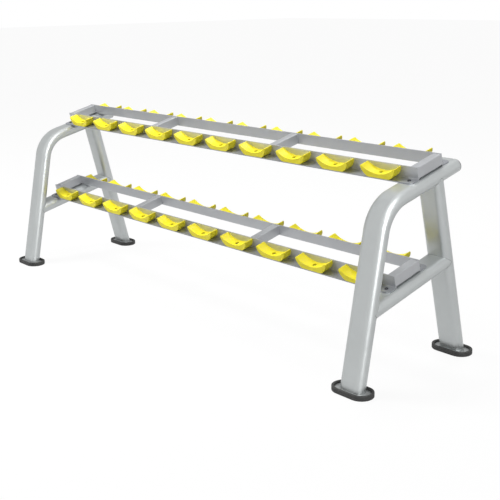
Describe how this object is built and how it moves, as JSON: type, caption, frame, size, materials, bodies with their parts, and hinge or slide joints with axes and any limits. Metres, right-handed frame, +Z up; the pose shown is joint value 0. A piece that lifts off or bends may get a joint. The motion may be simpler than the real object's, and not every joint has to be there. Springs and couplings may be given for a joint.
{
  "type": "dumbbell rack",
  "caption": "Two-tier dumbbell rack with bent flat-oval tube end frames, sloping angle-rail shelves, moulded cradle saddles and rubber feet.",
  "frame": {"origin": "on the floor, under the middle of the rack", "axes": "+X along the rack to its right end seen from the front, +Y to the rear, +Z up"},
  "size_m": [2.393, 0.664, 0.795],
  "materials": {
    "frame_paint": "satin metallic grey powder coat",
    "rail_paint": "satin metallic grey powder coat",
    "cap_plastic": "matte grey",
    "saddle_plastic": "satin yellow moulded plastic",
    "foot_rubber": "matte black rubber",
    "plate_steel": "satin metallic grey powder coat",
    "bolt_steel": "black-oxide steel",
    "screw_steel": "dark plated steel"
  },
  "bodies": {
    "root": {"left_bent_tube": "frame_paint", "left_rear_leg": "frame_paint", "left_cross_tube": "frame_paint", "left_end_cap": "cap_plastic", "left_front_foot_plate": "plate_steel", "left_rear_foot_plate": "plate_steel", "left_front_rubber_foot": "foot_rubber", "left_rear_rubber_foot": "foot_rubber", "right_bent_tube": "frame_paint", "right_rear_leg": "frame_paint", "right_cross_tube": "frame_paint", "right_end_cap": "cap_plastic", "right_front_foot_plate": "plate_steel", "right_rear_foot_plate": "plate_steel", "right_front_rubber_foot": "foot_rubber", "right_rear_rubber_foot": "foot_rubber", "upper_front_rail_upright": "rail_paint", "upper_front_rail_flange": "rail_paint", "upper_rear_rail_upright": "rail_paint", "upper_rear_rail_flange": "rail_paint", "upper_left_end_bar": "rail_paint", "upper_right_end_bar": "rail_paint", "upper_left_mid_bar": "rail_paint", "upper_right_mid_bar": "rail_paint", "upper_shelf_bolts": "bolt_steel", "upper_bolt_nuts": "bolt_steel", "upper_saddle_screws": "screw_steel", "upper_saddle_nuts": "bolt_steel", "upper_saddle_pair_01": "saddle_plastic", "upper_saddle_pair_02": "saddle_plastic", "upper_saddle_pair_03": "saddle_plastic", "upper_saddle_pair_04": "saddle_plastic", "upper_saddle_pair_05": "saddle_plastic", "upper_saddle_pair_06": "saddle_plastic", "upper_saddle_pair_07": "saddle_plastic", "upper_saddle_pair_08": "saddle_plastic", "upper_saddle_pair_09": "saddle_plastic", "upper_saddle_pair_10": "saddle_plastic", "lower_front_rail_upright": "rail_paint", "lower_front_rail_flange": "rail_paint", "lower_rear_rail_upright": "rail_paint", "lower_rear_rail_flange": "rail_paint", "lower_left_end_bar": "rail_paint", "lower_right_end_bar": "rail_paint", "lower_left_mid_bar": "rail_paint", "lower_right_mid_bar": "rail_paint", "lower_shelf_bolts": "bolt_steel", "lower_bolt_nuts": "bolt_steel", "lower_saddle_screws": "screw_steel", "lower_saddle_nuts": "bolt_steel", "lower_saddle_pair_01": "saddle_plastic", "lower_saddle_pair_02": "saddle_plastic", "lower_saddle_pair_03": "saddle_plastic", "lower_saddle_pair_04": "saddle_plastic", "lower_saddle_pair_05": "saddle_plastic", "lower_saddle_pair_06": "saddle_plastic", "lower_saddle_pair_07": "saddle_plastic", "lower_saddle_pair_08": "saddle_plastic", "lower_saddle_pair_09": "saddle_plastic", "lower_saddle_pair_10": "saddle_plastic"}
  },
  "joints": []
}
